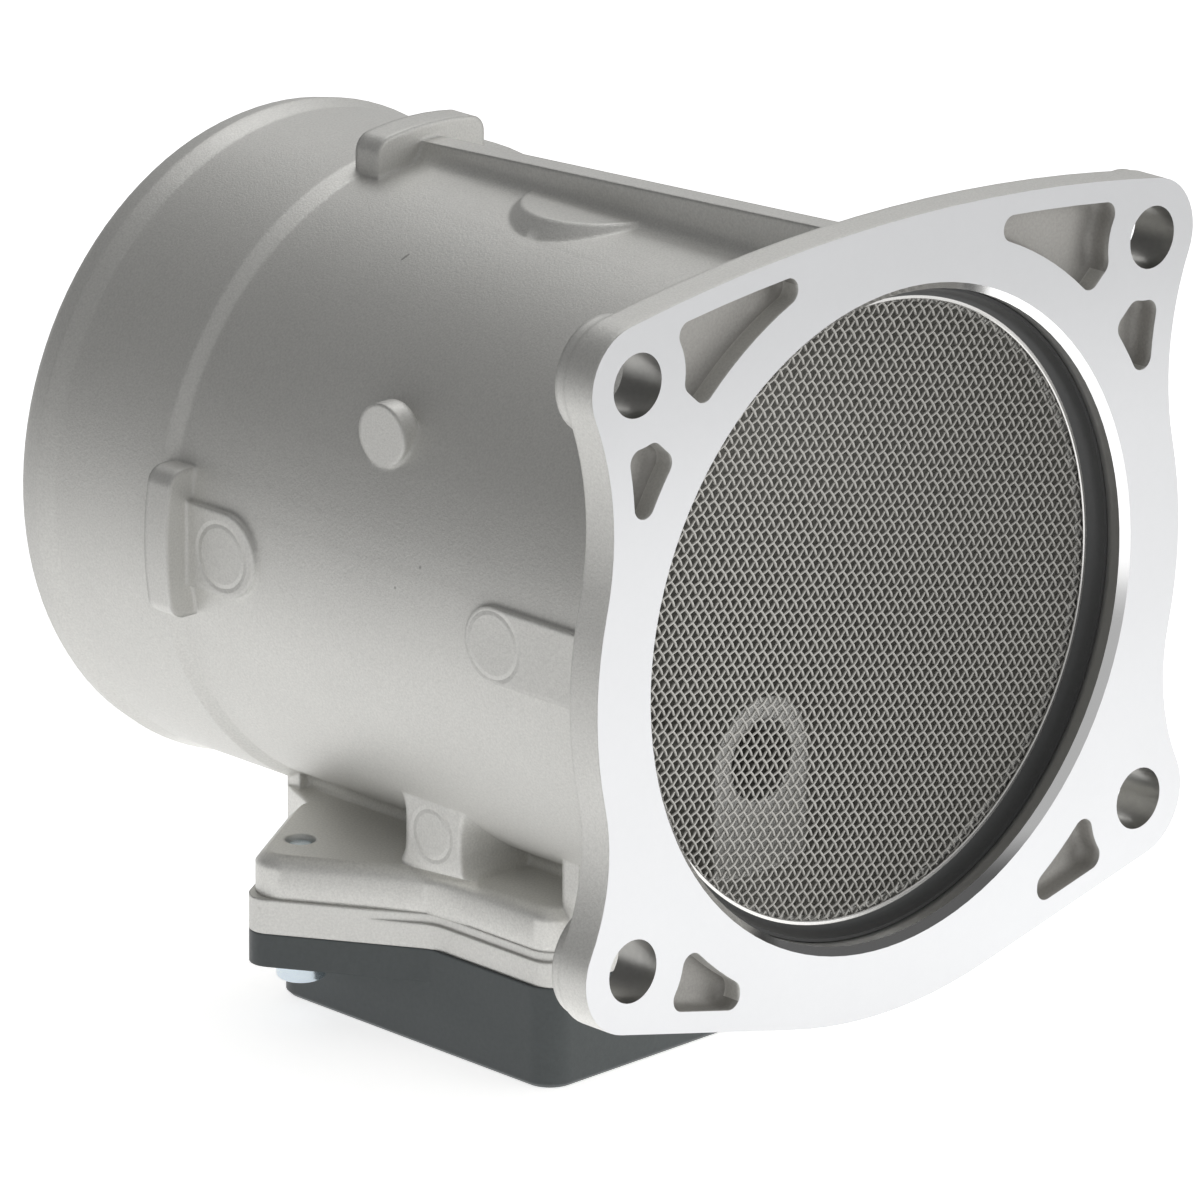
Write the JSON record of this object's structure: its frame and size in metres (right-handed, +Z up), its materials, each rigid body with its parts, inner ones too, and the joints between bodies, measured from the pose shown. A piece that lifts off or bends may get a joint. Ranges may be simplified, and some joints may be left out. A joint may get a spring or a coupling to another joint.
{
  "type": "mass airflow sensor",
  "caption": "Cast aluminium metering tube with a bolted flange, woven inlet screen and a black electronics module screwed on below.",
  "frame": {"origin": "on the bore's axis, in the plane of the machined flange face", "axes": "+Y runs along the bore with the air flow, from the flange to the hose spigot; +Z points up, away from the electronics module; +X points to the side on which the connector leaves"},
  "size_m": [0.1094, 0.1165, 0.1175],
  "materials": {
    "cast_aluminium": "sandblasted die casting with a machined flange face",
    "woven_steel": "woven stainless wire",
    "rolled_steel": "bright rolled edge",
    "black_ring": "black moulded ring",
    "plate_aluminium": "cast, tumbled",
    "seal_rubber": "moulded rubber",
    "probe_plastic": "glass-filled plastic",
    "post_steel": "drawn wire",
    "glazed_ceramic": "wound ceramic under glaze",
    "case_plastic": "satin moulded plastic",
    "board_laminate": "coated laminate",
    "clear_gel": "soft silicone gel",
    "chip_plastic": "moulded package",
    "resistor_coat": "coated chip",
    "capacitor_body": "ceramic chips",
    "terminal_brass": "tinned blades",
    "zinc_steel": "bright zinc plating",
    "bushing_steel": "zinc-plated sleeve"
  },
  "bodies": {
    "root": {"meter_body": "cast_aluminium", "inlet_screen": "woven_steel", "screen_rim": "rolled_steel", "screen_retaining_ring": "black_ring", "module_base_plate": "plate_aluminium", "module_seal": "seal_rubber", "probe_body": "probe_plastic", "probe_seal": "seal_rubber", "element_posts": "post_steel", "hot_element": "glazed_ceramic", "air_temperature_element": "glazed_ceramic", "module_case": "case_plastic", "module_cover": "case_plastic", "circuit_board": "board_laminate", "potting_gel": "clear_gel", "control_chip": "chip_plastic", "power_transistor": "chip_plastic", "precision_resistor": "resistor_coat", "capacitors": "capacitor_body", "connector_terminals": "terminal_brass", "module_screws": "zinc_steel", "ear_bushings": "bushing_steel"}
  },
  "joints": []
}
